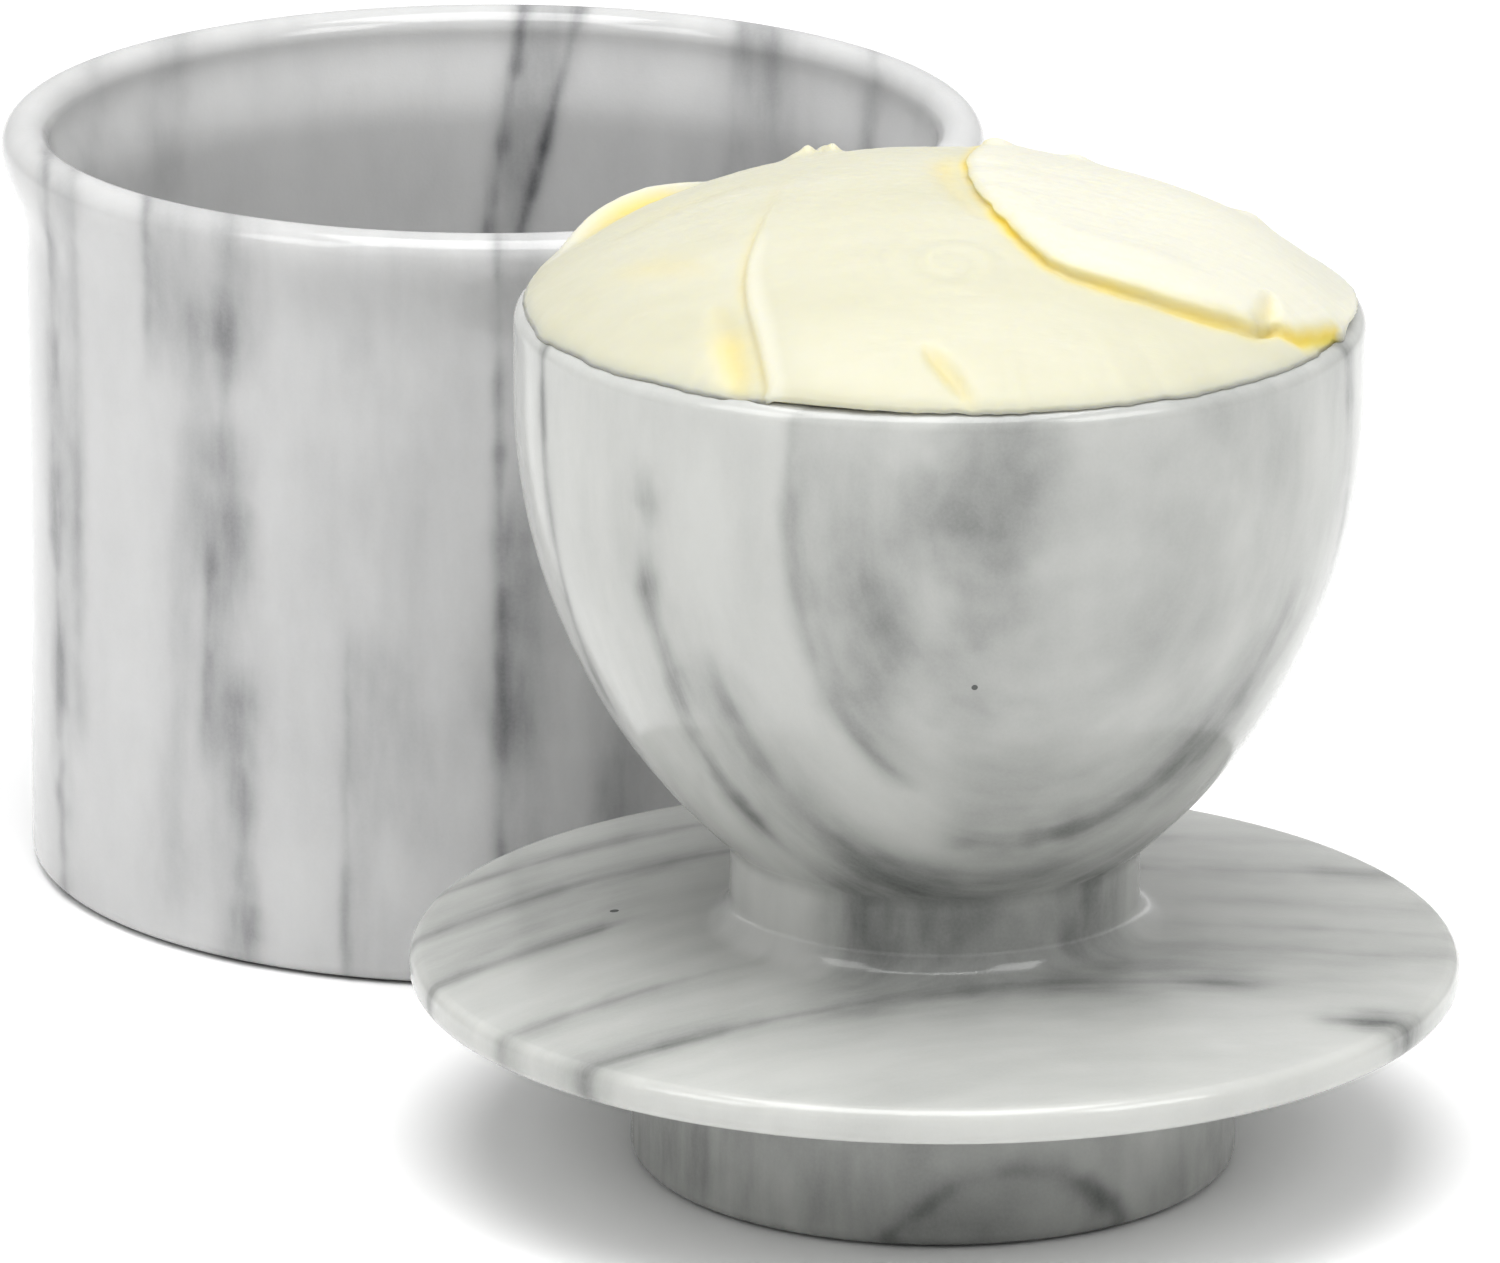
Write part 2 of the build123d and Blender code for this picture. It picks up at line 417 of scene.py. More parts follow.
def make_marble(name, axis, across_of, along_of, veins, white, grey, cloudiness, pits):
    """A polished marble: white stone with its grey layers, clouds, crystal grain and a few tiny pits."""
    material = bpy.data.materials.new(name)
    material.use_nodes = True
    tree = material.node_tree
    tree.nodes.clear()
    coordinates = place(tree, "ShaderNodeTexCoord").outputs["Object"]
    spot = place(
        tree,
        "ShaderNodeMapping",
        {
            "Vector": coordinates,
            "Location": (-axis.x / MM, -axis.y / MM, 0),
            "Scale": (1 / MM, 1 / MM, 1 / MM),
        },
    ).outputs[0]
    x, y, height = place(tree, "ShaderNodeSeparateXYZ", {0: spot}).outputs
    across = across_of(tree, x, y)
    along = along_of(x, y)
    field = place(tree, "ShaderNodeGroup", node_tree=stone_field)
    for label, value in (("Across", across), ("Along", along), ("Height", height)):
        tree.links.new(value, field.inputs[label])
    clear = None
    for vein in veins:
        layer = place(tree, "ShaderNodeGroup", node_tree=grey_vein)
        for label, value in (("Across", across), ("Along", along), ("Height", height)):
            tree.links.new(value, layer.inputs[label])
        for label in ("Wander", "Streak", "Cloud"):
            tree.links.new(field.outputs[label], layer.inputs[label])
        sizes = {
            "At": vein.at,
            "Lean": vein.lean,
            "Middle": (max(vein.bottom, 0) + min(vein.top, 86)) / 2,
            "Wavy": vein.wavy,
            "Width": vein.width,
            "Dark": vein.dark,
            "Haze Low": vein.haze_low,
            "Haze High": vein.haze_high,
            "Haze Dark": vein.haze_dark,
            "Bottom": vein.bottom,
            "Top": vein.top,
            "From": vein.start,
            "To": vein.end,
        }
        for label, value in sizes.items():
            layer.inputs[label].default_value = value
        left = calc(tree, "SUBTRACT", 1.0, layer.outputs[0], clamp=True)
        clear = left if clear is None else calc(tree, "MULTIPLY", clear, left)
    clouds = calc(tree, "MULTIPLY", field.outputs["Cloud"], cloudiness)
    shade = calc(tree, "SUBTRACT", 1.0, calc(tree, "MULTIPLY", clear, calc(tree, "SUBTRACT", 1.0, clouds)))
    speckle = calc(tree, "MULTIPLY", field.outputs["Grain"], calc(tree, "MULTIPLY_ADD", shade, 0.10, 0.018))
    shade = calc(tree, "ADD", shade, speckle, clamp=True)
    for centre, radius in pits:
        away = place(tree, "ShaderNodeVectorMath", {0: spot, 1: centre}, operation="DISTANCE")
        pit = calc(tree, "LESS_THAN", away.outputs["Value"], radius)
        shade = calc(tree, "MAXIMUM", shade, pit)
    colour = blend_colours(tree, shade, white, grey)
    polish = calc(tree, "MULTIPLY_ADD", field.outputs["Grain"], 0.03, 0.11)
    skin = place(
        tree,
        "ShaderNodeBump",
        {"Height": field.outputs["Grain"], "Strength": 0.12, "Distance": 0.00005},
    ).outputs[0]
    shader = place(
        tree,
        "ShaderNodeBsdfPrincipled",
        {
            "Base Color": colour,
            "Roughness": polish,
            "IOR": 1.52,
            "Subsurface Weight": 0.25,
            "Subsurface Radius": (1.0, 0.95, 0.85),
            "Subsurface Scale": 0.0025,
            "Normal": skin,
        },
    )
    place(tree, "ShaderNodeOutputMaterial", {"Surface": shader.outputs[0]})
    return material


POT_VEINS = [
    # the near wall, from left to right
    Vein(-44.7, -0.01, 0.14, 0.55, 0.62, 1.2, 1.6, 0.32, -9, 99, -99, 0),
    Vein(-42.2, 0.00, 0.12, 0.50, 0.26, 1.6, 0.8, 0.26, 18, 99, -99, 0),
    Vein(-34.2, 0.00, 0.12, 0.50, 0.34, 0.6, 4.2, 0.32, 62, 99, -99, 0),
    Vein(-30.4, 0.05, 0.20, 1.20, 0.06, 2.8, 2.6, 0.24, 4, 70, -99, 0),
    Vein(-25.2, 0.00, 0.15, 1.20, 0.16, 2.4, 2.4, 0.38, 63, 80, -99, 0),
    Vein(-26.2, 0.02, 0.14, 0.80, 0.34, 2.0, 2.0, 0.28, 51, 70, -99, 0),
    Vein(-25.9, 0.00, 0.16, 1.50, 0.30, 2.4, 2.0, 0.42, 38, 55, -99, 0),
    Vein(-28.1, 0.04, 0.12, 0.45, 0.28, 0.5, 4.4, 0.36, 22, 43, -99, 0),
    Vein(-24.6, 0.00, 0.20, 0.90, 0.34, 2.4, 1.6, 0.38, -9, 30, -99, 0),
    Vein(-13.8, 0.02, 0.20, 0.40, 0.22, 0.6, 8.0, 0.20, -9, 36, -99, 0),
    Vein(-8.0, 0.00, 0.30, 2.50, 0.04, 9.0, 6.0, 0.13, 15, 99, -99, 0),
    Vein(1.7, 0.00, 0.14, 0.55, 0.45, 0.8, 6.0, 0.32, -9, 80, -99, 0),
    Vein(2.6, 0.00, 0.25, 1.40, 0.45, 1.0, 3.0, 0.25, 24, 50, -99, 0),
    Vein(14.0, 0.06, 0.30, 1.40, 0.28, 2.5, 5.0, 0.30, -9, 60, -99, 0),
    Vein(27.0, -0.03, 0.30, 1.20, 0.40, 3.5, 2.0, 0.36, 10, 99, -99, 0),
    Vein(39.0, 0.05, 0.25, 1.00, 0.38, 3.0, 1.5, 0.32, -9, 99, -99, 0),
    # the far wall, from left to right
    Vein(-42.5, 0.00, 0.25, 1.60, 0.15, 1.5, 2.5, 0.12, 25, 99, 0, 99),
    Vein(-36.0, 0.05, 0.25, 1.20, 0.15, 1.5, 2.5, 0.10, 30, 84, 0, 99),
    Vein(-22.0, 0.04, 0.30, 1.20, 0.20, 3.0, 3.0, 0.18, -9, 34, 0, 99),
    Vein(-3.5, 0.158, 0.06, 0.60, 0.70, 1.0, 3.5, 0.44, -9, 99, 0, 99),
    Vein(-1.4, 0.266, 0.06, 0.55, 0.75, 2.5, 0.9, 0.34, -9, 99, 0, 99),
    Vein(26.0, 0.08, 0.15, 1.60, 0.20, 3.2, 3.2, 0.27, -9, 99, 0, 99),
    Vein(23.6, 0.10, 0.12, 0.50, 0.20, 0.8, 1.5, 0.12, 30, 99, 0, 99),
    Vein(38.6, 0.03, 0.15, 0.60, 0.35, 1.0, 1.4, 0.15, -9, 99, 0, 99),
]
POT_WHITE = (0.57, 0.571, 0.569)
POT_GREY = (0.13, 0.133, 0.139)
POT_CLOUDINESS = 0.09
POT_PITS = [((14.0, -46.7, 52.0), 0.3), ((-37.0, -31.0, 21.0), 0.25), ((20.0, 44.0, 34.0), 0.35)]

pot_axis = Vector((0, 0, 0))
pot_marble = make_marble(
    "pot marble",
    pot_axis,
    lambda tree, x, y: x,
    lambda x, y: y,
    POT_VEINS,
    POT_WHITE,
    POT_GREY,
    POT_CLOUDINESS,
    POT_PITS,
)
pot = turn_piece("pot", pot_profile(), pot_axis, 3.0, pot_marble)
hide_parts("crock")
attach(pot, "crock")


# ------------------------------------------------------------------------------------------------------------
# The lid, standing on its knob with its bell up. One block of the same marble, turned to a knob, a thin
# flange, a short neck and a deep bell with a rounded rim, then polished. Its grey layers stand on edge and
# bend as they cross.
# ------------------------------------------------------------------------------------------------------------

lid_low, lid_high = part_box("lid")
LID_HEIGHT = lid_high.z / MM
FLANGE_RADIUS = (lid_high.x - lid_low.x) / 2 / MM
FLANGE_EDGE = 3.4
FLANGE_FALL = 1.5
FLANGE_ROUND = 1.4
FLANGE_RISE = 2.6
KNOB_RADIUS = 29.5
KNOB_HEIGHT = 16.2
KNOB_ROUND = 1.4
KNOB_ROOT = 2.5
NECK_RADIUS = 19.9
NECK_LENGTH = 8.0
NECK_FOOT = 3.0
BELL_RADIUS = 40.75
BELL_STRAIGHT = 8.6
BELL_WALL = 5.5
BELL_FLOOR = 12.0
BELL_RIM_ROUND = 1.8
BOWL_FLAT = 4.0

lid_axis = Vector(((lid_low.x + lid_high.x) / 2, (lid_low.y + lid_high.y) / 2, 0))
FLANGE_TOP = KNOB_HEIGHT + FLANGE_FALL + FLANGE_EDGE
NECK_FOOT_HEIGHT = FLANGE_TOP + FLANGE_RISE
BELL_START = NECK_FOOT_HEIGHT + NECK_LENGTH
BELL_BELLY = LID_HEIGHT - BELL_STRAIGHT
BOWL_BOTTOM = BELL_START + BELL_FLOOR
BOWL_RADIUS = BELL_RADIUS - BELL_WALL


def rounded(before, corner, after, radius, steps):
    """Points round a corner between two straight runs."""
    corner_point = Vector(corner)
    way_in = (Vector(before) - corner_point).normalized()
    way_out = (Vector(after) - corner_point).normalized()
    half = way_in.angle(way_out) / 2
    middle = corner_point + (way_in + way_out).normalized() * radius / math.sin(half)
    first = corner_point + way_in * radius / math.tan(half)
    last = corner_point + way_out * radius / math.tan(half)
    start = math.atan2(first.y - middle.y, first.x - middle.x)
    end = math.atan2(last.y - middle.y, last.x - middle.x)
    sweep = (end - start + math.pi) % math.tau - math.pi
    return arc(middle, radius, math.degrees(start), math.degrees(start + sweep), steps)


def bell_arc(steps):
    """Points on the bell's outside, one arc from the neck that runs into the straight wall at its mouth."""
    across = BELL_RADIUS - NECK_RADIUS
    up = BELL_BELLY - BELL_START
    radius = (across ** 2 + up ** 2) / (2 * across)
    start = -math.degrees(math.asin(up / radius))
    return arc((BELL_RADIUS - radius, BELL_BELLY), radius, start, 0, steps)


def lid_profile():
    """The lid's outline from the middle of its knob, round the flange, up the bell and into its bowl."""
    bowl_round = BOWL_RADIUS - BOWL_FLAT
    knob_foot = (KNOB_RADIUS, 0)
    knob_root = (KNOB_RADIUS, KNOB_HEIGHT)
    flange_under = (FLANGE_RADIUS, KNOB_HEIGHT + FLANGE_FALL)
    flange_over = (FLANGE_RADIUS, FLANGE_TOP)
    neck_foot = (NECK_RADIUS, NECK_FOOT_HEIGHT)
    neck_top = (NECK_RADIUS, BELL_START)
    rim = LID_HEIGHT - BELL_RIM_ROUND
    points = [(0, 0)]
    points += run((0, 0), (KNOB_RADIUS - KNOB_ROUND, 0), 8)
    points += rounded((0, 0), knob_foot, knob_root, KNOB_ROUND, 8)
    points += run((KNOB_RADIUS, KNOB_ROUND), (KNOB_RADIUS, KNOB_HEIGHT - KNOB_ROOT), 8)
    points += rounded(knob_foot, knob_root, flange_under, KNOB_ROOT, 8)
    under_edge = (FLANGE_RADIUS - FLANGE_ROUND, flange_under[1])
    points += run((KNOB_RADIUS + KNOB_ROOT, points[-1][1]), under_edge, 12)
    points += rounded(knob_root, flange_under, flange_over, FLANGE_ROUND, 8)
    points += rounded(flange_under, flange_over, neck_foot, FLANGE_ROUND, 8)
    foot = rounded(flange_over, neck_foot, neck_top, NECK_FOOT, 10)
    points += run(points[-1], foot[0], 20)
    points += foot
    points += run((NECK_RADIUS, foot[-1][1]), neck_top, 5)
    points += bell_arc(36)
    points += run((BELL_RADIUS, BELL_BELLY), (BELL_RADIUS, rim), 6)
    points += arc((BELL_RADIUS - BELL_RIM_ROUND, rim), BELL_RIM_ROUND, 0, 90, 8)
    points += arc((BOWL_RADIUS + BELL_RIM_ROUND, rim), BELL_RIM_ROUND, 90, 180, 8)
    points += run((BOWL_RADIUS, rim), (BOWL_RADIUS, BOWL_BOTTOM + bowl_round), 6)
    points += arc((BOWL_FLAT, BOWL_BOTTOM + bowl_round), bowl_round, 0, -90, 24)
    return points + [(0, BOWL_BOTTOM)]


LAYER_BEND = 11.4
LAYER_BEND_LENGTH = 38.0


def bent_layers(tree, x, y):
    """Across the lid's grey layers, which swing towards the front on the left side of the block."""
    growth = calc(tree, "EXPONENT", calc(tree, "DIVIDE", x, -LAYER_BEND_LENGTH))
    swing = calc(tree, "MULTIPLY", growth, LAYER_BEND)
    return calc(tree, "ADD", y, swing)


LID_VEINS = [
    # on the flange, from the back to the front; the first two run on up the back of the bell
    Vein(55.0, 0.0, 0.25, 1.00, 0.32, 1.5, 2.0, 0.28, 13, 99, -60, -12),
    Vein(42.5, 0.0, 0.25, 1.10, 0.36, 2.0, 3.5, 0.36, 13, 99, -60, -4),
    Vein(36.0, 0.0, 0.30, 0.90, 0.20, 1.5, 2.0, 0.18, 13, 40, -10, 40),
    Vein(33.0, 0.0, 0.30, 2.00, 0.10, 5.0, 5.0, 0.20, 13, 34, -60, -28),
    Vein(25.7, 0.0, 0.20, 0.80, 0.62, 2.0, 2.5, 0.36, 13, 26, -60, -30),
    Vein(24.5, 0.0, 0.30, 1.40, 0.26, 2.5, 3.5, 0.18, 13, 25, 12, 60),
    Vein(13.5, 0.0, 0.30, 0.80, 0.14, 2.5, 2.0, 0.14, 13, 24, 20, 60),
    Vein(5.0, 0.0, 0.35, 1.00, 0.20, 2.5, 2.5, 0.16, 13, 24, 22, 60),
    Vein(3.8, 0.0, 0.30, 1.10, 0.62, 3.0, 3.0, 0.42, 13, 22, -45, 0),
    Vein(-2.0, 0.0, 0.35, 0.70, 0.14, 2.5, 2.0, 0.14, 13, 24, 15, 60),
    Vein(-11.3, 0.0, 0.20, 0.90, 0.55, 2.5, 4.5, 0.38, 13, 24, -60, 30),
    Vein(-20.5, 0.0, 0.25, 1.40, 0.80, 2.5, 2.5, 0.36, 13, 30, 38, 60),
    # through the neck: a broad grey wash, partly a grey layer and partly painted shade under the bell and
    # round the neck's foot
    Vein(-8.5, 0.0, 0.15, 5.00, 0.25, 6.5, 6.0, 0.80, 23.5, 37, -12, 60),
    # on the bell
    Vein(14.7, 0.05, 0.15, 0.70, 0.50, 1.0, 1.8, 0.32, 48, 99, -60, -20),
    Vein(-4.6, -0.04, 0.20, 1.10, 0.50, 2.2, 2.2, 0.30, 38, 76, -60, -12),
    Vein(-11.0, 0.0, 0.25, 1.20, 0.38, 3.0, 4.5, 0.32, 34, 58, -27, 0),
    Vein(-16.4, 0.12, 0.20, 1.10, 0.55, 3.0, 4.0, 0.36, 34, 62, 2, 60),
    Vein(-21.2, -0.03, 0.15, 0.45, 0.18, 7.0, 0.7, 0.42, 46, 99, -24, -3),
    Vein(-27.3, -0.29, 0.12, 2.20, 0.34, 4.0, 3.0, 0.22, 54, 99, -13, 10),
    Vein(-26.0, 0.00, 0.30, 3.00, 0.03, 14.0, 12.0, 0.26, 40, 92, 0, 60),
    Vein(-8.0, -0.15, 0.20, 0.90, 0.40, 2.5, 2.5, 0.26, 60, 99, 30, 60),
    # on the knob: first a broad grey wash over all of it, painted shade where the knob stands under the
    # flange, then one grey layer arching across it
    Vein(0.0, 0.0, 0.50, 9.00, 0.10, 60.0, 60.0, 0.46, -20, 14.5, -60, 60),
    Vein(-18.9, -0.46, 0.20, 0.50, 0.60, 6.0, 0.7, 0.52, -20, 14, -12, 26),
]
LID_WHITE = (0.53, 0.535, 0.518)
LID_GREY = (0.115, 0.121, 0.117)
LID_CLOUDINESS = 0.12
LID_PITS = [((2.9, -37.7, 58.3), 0.3), ((-31.1, 4.1, 22.8), 0.45)]

lid_marble = make_marble(
    "lid marble",
    lid_axis,
    bent_layers,
    lambda x, y: x,
    LID_VEINS,
    LID_WHITE,
    LID_GREY,
    LID_CLOUDINESS,
    LID_PITS,
)
lid = turn_piece("lid_bell", lid_profile(), lid_axis, 8.0, lid_marble)
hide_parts("lid")
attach(lid, "lid")


# ------------------------------------------------------------------------------------------------------------
# The butter. Soft pale butter pressed into the bell and heaped over its rim with a broad knife, whose last
# strokes left a thick flap on the right, a stroke lapped over the left side, and creases under their edges.
# The creases are painted a brighter, deeper yellow: partly the butter's own yellower inside where it tore,
# partly painted light glowing through the thin edges above them. Pale bands on the ridges are partly painted
# highlights.
# ------------------------------------------------------------------------------------------------------------

butter_low, butter_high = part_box("butter")
HEAP_LIMIT = butter_high.z / MM - LID_HEIGHT - 0.15
HEAP_RADIUS = 40.25
HEAP_RISE = 12.6
HEAP_RINGS = 150
HEAP_SEGMENTS = 440
BUTTER_GAP = 0.2


def smooth_line(*points, steps=10):
    """A smooth line through a few places, as an array of closely spaced ones."""
    given = np.array(points, float)
    posts = [2 * given[0] - given[1], *given, 2 * given[-1] - given[-2]]
    t = np.linspace(0, 1, steps, endpoint=False)[:, None]
    spans = [
        b + 0.5 * t * (c - a + t * (2 * a - 5 * b + 4 * c - d + t * (3 * b - a - 3 * c + d)))
        for a, b, c, d in zip(posts, posts[1:], posts[2:], posts[3:])
    ]
    return np.vstack([*spans, given[-1]])


def beside(line, x, y):
    """How far each place is left of a line, its share of the way along, and the line's left-hand normal."""
    nearest = np.full(x.shape, np.inf)
    left, along, across_x, across_y = (np.zeros(x.shape) for _ in range(4))
    for i, ((ax, ay), (bx, by)) in enumerate(zip(line, line[1:])):
        length = math.hypot(bx - ax, by - ay)
        ux, uy = (bx - ax) / length, (by - ay) / length
        reach = np.clip((x - ax) * ux + (y - ay) * uy, 0, length)
        gap = np.hypot(x - ax - reach * ux, y - ay - reach * uy)
        closer = gap < nearest
        nearest = np.where(closer, gap, nearest)
        left = np.where(closer, gap * np.sign(ux * (y - ay) - uy * (x - ax)), left)
        along = np.where(closer, (i + reach / length) / (len(line) - 1), along)
        across_x = np.where(closer, -uy, across_x)
        across_y = np.where(closer, ux, across_y)
    return left, along, across_x, across_y


def ease(value, start, end):
    """0 before start, 1 after end, and smooth between them."""
    share = np.clip((value - start) / (end - start), 0, 1)
    return share * share * (3 - 2 * share)


def ripple(x, y, size, seed):
    """Smooth noise about as wide as size, from -1 to 1."""
    flat_x, flat_y = np.ravel(x) / size, np.ravel(y) / size
    values = [noise.noise((a, b, seed)) for a, b in zip(flat_x, flat_y)]
    return np.reshape(values, np.shape(x))


class Heap:
    """The butter's top as it is worked: its places and heights, and how creased and how pale each is, pale
    for knife skin and for painted highlights on ridges.
    """

    def __init__(self, x, y, height):
        self.x, self.y, self.height = x, y, height
        self.crease, self.pale = np.zeros(x.shape), np.zeros(x.shape)

    def lap(self, line, thick, undercut, fall, crease):
        """Lay butter to the left of a line, with a rolled edge that hangs over the crease below it."""
        left, along, across_x, across_y = beside(line, self.x, self.y)
        thick = np.interp(along, np.linspace(0, 1, len(thick)), thick)
        gap = left / undercut
        shift = np.interp(gap, [-1.7, -0.6, 0.0, 0.5, 1.0, 1.8, 3.0], [0, 0.5, 0.4, -0.3, -0.7, -0.5, 0])
        rise = np.interp(
            left,
            [-0.8, -0.3, 0, 0.5, 1.1, 2, 3.2, 5, 7],
            [0, -0.04, 0.06, 0.32, 0.52, 0.71, 0.86, 0.96, 1],
        )
        worth = np.clip(thick / 1.5, 0, 1)
        self.x = self.x + shift * undercut * worth * across_x
        self.y = self.y + shift * undercut * worth * across_y
        self.height = self.height + rise * thick * np.exp(-left.clip(0) / fall)
        # the crease under the rolled edge; the material paints it a brighter yellow, partly as painted light
        # glowing through the edge
        mark = np.exp(-((left + 0.1) / 0.62) ** 2) * worth
        self.crease = np.maximum(self.crease, crease * mark)
        return left, along

    def furrow(self, line, depth, width, crease):
        """Press a groove, or with a depth below 0 raise a ridge, along a line. It fades out at both ends."""
        left, along, _, _ = beside(line, self.x, self.y)
        taper = (4 * along * (1 - along)).clip(1e-4)
        mark = np.exp(-(left / (width * taper ** 0.5)) ** 2) * taper
        self.height = self.height - depth * mark
        self.crease = np.maximum(self.crease, crease * mark)

    def settle(self, where, times):
        """Even out the heights where the share is high, as a blade does in passing."""
        for _ in range(times):
            rows = np.vstack((self.height[:1], self.height, self.height[-1:]))
            sides = np.roll(self.height, 1, 1) + np.roll(self.height, -1, 1)
            self.height = self.height + where * ((rows[:-2] + rows[2:] + sides) / 4 - self.height)

    def bump(self, x, y, width, rise):
        """A small round lump."""
        self.height = self.height + rise * np.exp(-((self.x - x) ** 2 + (self.y - y) ** 2) / width ** 2)


def rim_drop(radius):
    """How far the rim's rounded top lies below its crest, at a distance from the lid's axis."""
    past_crest = (radius - (BELL_RADIUS - BELL_RIM_ROUND)).clip(0, BELL_RIM_ROUND)
    return BELL_RIM_ROUND - np.sqrt(BELL_RIM_ROUND ** 2 - past_crest ** 2)


def work_butter():
    """The heaped top after the knife: rings from the middle out to the edge, each of evenly spaced places."""
    ring = np.linspace(0, 1, HEAP_RINGS + 1)[1:, None]
    turn = np.linspace(0, math.tau, HEAP_SEGMENTS, endpoint=False)[None, :]
    ragged = 1 - 0.006 * (1 + ripple(np.cos(turn) * 9, np.sin(turn) * 9, 1.0, 2.5))
    ragged = ragged - 0.003 * (1 + ripple(np.cos(turn) * 40, np.sin(turn) * 40, 1.0, 7.5))
    radius = HEAP_RADIUS * ring * (1 + (ragged - 1) * ring ** 4)
    x, y = radius * np.cos(turn), radius * np.sin(turn)
    heap = Heap(x, y, HEAP_RISE * (1 - ring ** 2).clip(0) ** 0.84 * np.ones(turn.shape))
    inner = 1 - ring ** 6
    heap.height += 1.1 * inner * np.exp(-((x - 26) / 11) ** 2 - ((y - 4) / 16) ** 2)
    heap.height += inner * (0.35 * ripple(x, y, 15, 1.0) + 0.12 * ripple(x, y, 5, 4.0))
    # the left side, spread first, with its raised lip along the back
    back_lip = smooth_line((-36.5, 7), (-33, 12.5), (-28.8, 16), (-22.5, 21))
    heap.furrow(back_lip, -1.9, 2.0, 0)
    # a pale band on the lip's crest: knife skin and a painted highlight where its top catches the light
    heap.pale = np.maximum(heap.pale, 0.9 * np.exp(-(beside(back_lip, x, y)[0] / 1.5) ** 2))
    heap.furrow(back_lip + np.array((1.3, -2.1)), 0.5, 1.3, 0.9)
    heap.furrow(smooth_line((-31, -1), (-25, 3), (-18, 4)), 0.25, 2.0, 0.1)
    heap.furrow(smooth_line((-33, -9), (-27, -12), (-21, -19)), 0.3, 2.2, 0.15)
    # the middle stroke, lapped over the left side
    stroke = smooth_line((-14.5, 6), (-16.3, -6), (-18.4, -17), (-18.6, -24), (-17.6, -30), (-16.6, -35.5))
    left, _ = heap.lap(stroke, (0.0, 0.3, 0.7, 1.0, 1.1, 0.9), 0.5, 14.0, 0.45)
    # a pale band on the stroke's rolled edge: knife skin and a painted highlight along the ridge
    heap.pale = np.maximum(heap.pale, 0.8 * np.exp(-((left - 0.9) / 1.0) ** 2) * ease(-y, 8, 18))
    heap.furrow(smooth_line((-21.6, -23), (-19.8, -29.5), (-18.4, -38.5)), 0.6, 1.6, 0.55)
    # faint turns of the knife where it was lifted
    from_twist = np.hypot(x - 0.5, y + 22)
    twist = np.cos(math.tau * from_twist / 3.4 + np.arctan2(y + 22, x - 0.5))
    heap.height += 0.09 * twist * ease(-from_twist, -9, -2) * ease(from_twist, 0.5, 2)
    heap.furrow(smooth_line((-2.4, -33.6), (0.0, -36.4), (3.2, -40.4)), 0.7, 0.9, 0.65)
    heap.furrow(smooth_line((1.6, 10), (0.4, 2), (1.4, -6), (4.0, -14)), 0.35, 1.5, 0.4)
    # the thick flap on the right, laid last
    edge = smooth_line(
        (12.5, 40.5), (10.8, 33), (7.4, 26.5), (4.6, 19), (3.2, 11), (2.3, 3), (2.9, -5.4), (4.8, -12),
        (7.4, -18), (10.5, -22.2), (16, -23.8), (23, -24), (28.5, -22.6), (30.6, -20.4), (33.5, -19.2),
        (37, -14)
    )
    waver = range(-30, len(edge) - 30)
    edge = edge + np.array(
        [(0.25 * noise.noise((i / 3, 0, 8)), 0.3 * noise.noise((i / 4, 5, 8))) for i in waver]
    )
    left, _ = heap.lap(edge, (0.5, 0.8, 1.2, 1.2, 1.3, 2.0, 2.9, 3.4, 3.2, 2.6, 1.6), 0.6, 9.0, 1.0)
    on_flap = ease(left, 0.2, 1.6)
    heap.height -= 0.9 * on_flap * (1 - np.exp(-left.clip(0) / 9))
    heap.height += 0.25 * on_flap * ripple(x / 3, y, 4.0, 6.0) * inner
    heap.settle(ease(left, 2.0, 4.5), 60)
    heap.pale = np.maximum(heap.pale, on_flap)
    heap.furrow(smooth_line((28.8, -22.5), (30.3, -19.5), (30.6, -15.5)), 0.8, 0.8, 0.5)
    heap.furrow(smooth_line((9, -14), (16, -18), (26, -18.5)), -0.35, 2.4, 0)
    # crumbs and small peaks that the knife pulled up along the back
    for place_x, place_y, width, rise in (
        (-12.6, 20.2, 0.8, 1.1), (-11.2, 21.0, 0.6, 0.8), (-10.2, 20.4, 0.7, 1.0), (-13.8, 19.6, 0.9, 0.5),
        (13.6, 18.0, 1.4, 0.5), (30.2, 11.5, 1.5, 0.6), (5.5, 17.5, 1.6, 0.7),
    ):
        heap.bump(place_x, place_y, width, rise)
    # drag marks of the blade
    heap.height += inner * (0.03 * ripple(x / 4, y, 0.8, 9.0) + 0.04 * ripple(x, y, 1.1, 3.0))
    heap.height -= rim_drop(np.hypot(heap.x, heap.y)) + 0.75 * BUTTER_GAP * ring ** 60
    heap.height = np.minimum(heap.height, HEAP_LIMIT - BUTTER_GAP)
    return heap


